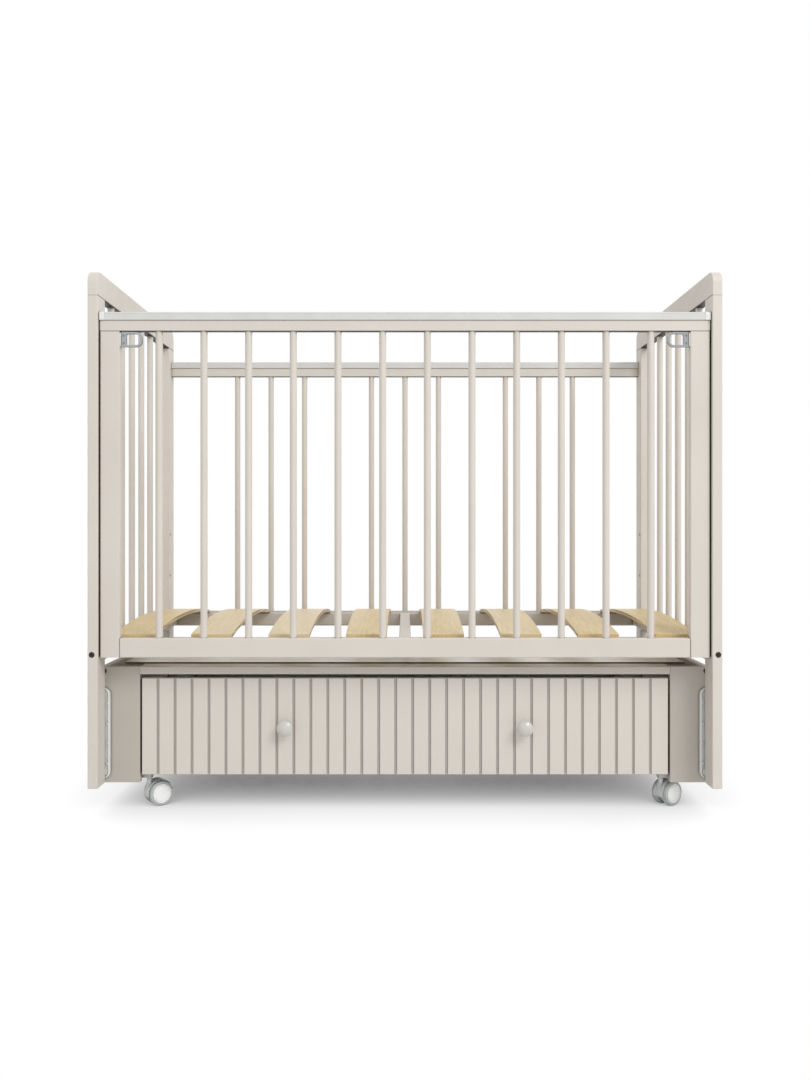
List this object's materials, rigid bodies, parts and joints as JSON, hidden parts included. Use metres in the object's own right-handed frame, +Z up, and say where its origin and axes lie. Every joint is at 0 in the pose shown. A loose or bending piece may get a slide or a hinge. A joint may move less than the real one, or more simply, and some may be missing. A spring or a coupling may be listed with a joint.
{
  "type": "swinging crib",
  "caption": "Barred crib with a drop side and slatted mattress base, hung on swing arms over a wheeled base with a drawer.",
  "frame": {"origin": "on the floor under the middle of the crib", "axes": "+X along the crib to its right seen from the drawer side, +Y to the rear, +Z up"},
  "size_m": [1.25, 0.68, 1.078],
  "materials": {
    "enamel": "satin greige enamel on solid wood",
    "slat_birch": "clear-lacquered bent birch laminate",
    "cover_plastic": "extruded soft-sheen grey plastic",
    "cap_plastic": "moulded light grey plastic",
    "guide_plastic": "black moulded nylon",
    "latch_metal": "polished chrome plate",
    "latch_plastic": "moulded white plastic",
    "bolt_steel": "black-zinc plated steel",
    "pin_steel": "zinc-plated steel",
    "arm_nylon": "moulded white nylon",
    "runner_board": "light grey laminated board",
    "dust_sheet": "white lacquered hardboard",
    "drawer_board": "pale laminated board",
    "drawer_sheet": "white lacquered hardboard",
    "knob_lacquer": "off-white lacquer",
    "caster_plastic": "moulded light grey plastic",
    "wheel_plastic": "white hubs with pale grey soft treads",
    "pedal_plastic": "moulded light grey plastic"
  },
  "bodies": {
    "base": {"base_corner_boards": "enamel", "base_sides": "enamel", "base_rails": "enamel", "drawer_runners": "runner_board", "dust_cover": "dust_sheet", "base_bolts": "bolt_steel", "arm_upper_pins": "pin_steel", "caster_sockets": "caster_plastic"},
    "arm_front_left": {"swing_arm_front_left": "arm_nylon"},
    "arm_front_right": {"swing_arm_front_right": "arm_nylon"},
    "arm_rear_left": {"swing_arm_rear_left": "arm_nylon"},
    "arm_rear_right": {"swing_arm_rear_right": "arm_nylon"},
    "crib": {"front_post_left": "enamel", "front_post_right": "enamel", "rear_post_left": "enamel", "rear_post_right": "enamel", "end_top_rail_left": "enamel", "end_bottom_rail_left": "enamel", "end_bars_left": "enamel", "end_top_rail_right": "enamel", "end_bottom_rail_right": "enamel", "end_bars_right": "enamel", "rear_top_rail": "enamel", "rear_bottom_rail": "enamel", "rear_bars": "enamel", "bed_side_rails": "enamel", "bed_end_rails": "enamel", "bed_centre_bar": "enamel", "rear_rail_cover": "cover_plastic", "bed_slats": "slat_birch", "frame_bolts": "bolt_steel", "arm_lower_pins": "pin_steel", "drop_guides": "guide_plastic"},
    "drop_side": {"drop_top_rail": "enamel", "drop_bottom_rail": "enamel", "drop_stiles": "enamel", "drop_bars": "enamel", "drop_rail_cover": "cover_plastic", "drop_cover_caps": "cap_plastic", "drop_sliders": "guide_plastic", "latch_bushes": "latch_plastic"},
    "latch_left": {"latch_ring_left": "latch_metal"},
    "latch_right": {"latch_ring_right": "latch_metal"},
    "drawer": {"drawer_front": "enamel", "drawer_sides": "drawer_board", "drawer_back": "drawer_board", "drawer_bottom": "drawer_sheet", "drawer_knobs": "knob_lacquer"},
    "caster_front_left": {"caster_body_front_left": "caster_plastic"},
    "wheels_front_left": {"caster_wheels_front_left": "wheel_plastic"},
    "caster_front_right": {"caster_body_front_right": "caster_plastic"},
    "wheels_front_right": {"caster_wheels_front_right": "wheel_plastic"},
    "caster_rear_left": {"caster_body_rear_left": "caster_plastic"},
    "wheels_rear_left": {"caster_wheels_rear_left": "wheel_plastic"},
    "caster_rear_right": {"caster_body_rear_right": "caster_plastic"},
    "wheels_rear_right": {"caster_wheels_rear_right": "wheel_plastic"},
    "pedal_front_left": {"brake_pedal_front_left": "pedal_plastic"},
    "pedal_rear_right": {"brake_pedal_rear_right": "pedal_plastic"}
  },
  "joints": [
    {"name": "swing_front_left", "type": "hinge", "parent": "base", "child": "arm_front_left", "pos_m": [-0.61, -0.28185, 0.233], "axis": [0, 1, 0], "range_deg": [-12, 12]},
    {"name": "swing_front_right", "type": "hinge", "parent": "base", "child": "arm_front_right", "pos_m": [0.61, -0.28185, 0.233], "axis": [0, 1, 0], "range_deg": [-12, 12]},
    {"name": "swing_rear_left", "type": "hinge", "parent": "base", "child": "arm_rear_left", "pos_m": [-0.61, 0.28185, 0.233], "axis": [0, 1, 0], "range_deg": [-12, 12]},
    {"name": "swing_rear_right", "type": "hinge", "parent": "base", "child": "arm_rear_right", "pos_m": [0.61, 0.28185, 0.233], "axis": [0, 1, 0], "range_deg": [-12, 12]},
    {"name": "crib_level", "type": "hinge", "parent": "arm_front_left", "child": "crib", "pos_m": [-0.61, -0.28185, 0.077], "axis": [0, 1, 0], "range_deg": [-12, 12]},
    {"name": "drop_side_slide", "type": "slide", "parent": "crib", "child": "drop_side", "axis": [0, 0, 1], "range_m": [-0.22, 0]},
    {"name": "latch_pull_left", "type": "slide", "parent": "drop_side", "child": "latch_left", "axis": [1, 0, 0], "range_m": [0, 0.012], "stiffness_N_per_m": 600, "springref_m": -0.006},
    {"name": "latch_pull_right", "type": "slide", "parent": "drop_side", "child": "latch_right", "axis": [-1, 0, 0], "range_m": [0, 0.012], "stiffness_N_per_m": 600, "springref_m": -0.006},
    {"name": "drawer_slide", "type": "slide", "parent": "base", "child": "drawer", "axis": [0, -1, 0], "range_m": [0, 0.38]},
    {"name": "caster_swivel_front_left", "type": "hinge", "parent": "base", "child": "caster_front_left", "pos_m": [-0.525, -0.248, 0.025], "axis": [0, 0, 1], "continuous": true},
    {"name": "wheel_roll_front_left", "type": "hinge", "parent": "caster_front_left", "child": "wheels_front_left", "pos_m": [-0.50922, -0.23654, 0.025], "axis": [0.5878, -0.809, 0], "continuous": true},
    {"name": "pedal_press_front_left", "type": "hinge", "parent": "caster_front_left", "child": "pedal_front_left", "pos_m": [-0.50154, -0.23095, 0.038], "axis": [-0.5878, 0.809, 0], "range_deg": [0, 8]},
    {"name": "caster_swivel_front_right", "type": "hinge", "parent": "base", "child": "caster_front_right", "pos_m": [0.525, -0.248, 0.025], "axis": [0, 0, 1], "continuous": true},
    {"name": "wheel_roll_front_right", "type": "hinge", "parent": "caster_front_right", "child": "wheels_front_right", "pos_m": [0.54078, -0.23654, 0.025], "axis": [0.5878, -0.809, 0], "continuous": true},
    {"name": "caster_swivel_rear_left", "type": "hinge", "parent": "base", "child": "caster_rear_left", "pos_m": [-0.525, 0.248, 0.025], "axis": [0, 0, 1], "continuous": true},
    {"name": "wheel_roll_rear_left", "type": "hinge", "parent": "caster_rear_left", "child": "wheels_rear_left", "pos_m": [-0.50922, 0.25946, 0.025], "axis": [0.5878, -0.809, 0], "continuous": true},
    {"name": "caster_swivel_rear_right", "type": "hinge", "parent": "base", "child": "caster_rear_right", "pos_m": [0.525, 0.248, 0.025], "axis": [0, 0, 1], "continuous": true},
    {"name": "wheel_roll_rear_right", "type": "hinge", "parent": "caster_rear_right", "child": "wheels_rear_right", "pos_m": [0.54078, 0.25946, 0.025], "axis": [0.5878, -0.809, 0], "continuous": true},
    {"name": "pedal_press_rear_right", "type": "hinge", "parent": "caster_rear_right", "child": "pedal_rear_right", "pos_m": [0.54846, 0.26505, 0.038], "axis": [-0.5878, 0.809, 0], "range_deg": [0, 8]}
  ],
  "couplings": [
    {"joint": "swing_front_right", "follows": "swing_front_left", "ratio": 1},
    {"joint": "swing_rear_left", "follows": "swing_front_left", "ratio": 1},
    {"joint": "swing_rear_right", "follows": "swing_front_left", "ratio": 1},
    {"joint": "crib_level", "follows": "swing_front_left", "ratio": -1}
  ]
}
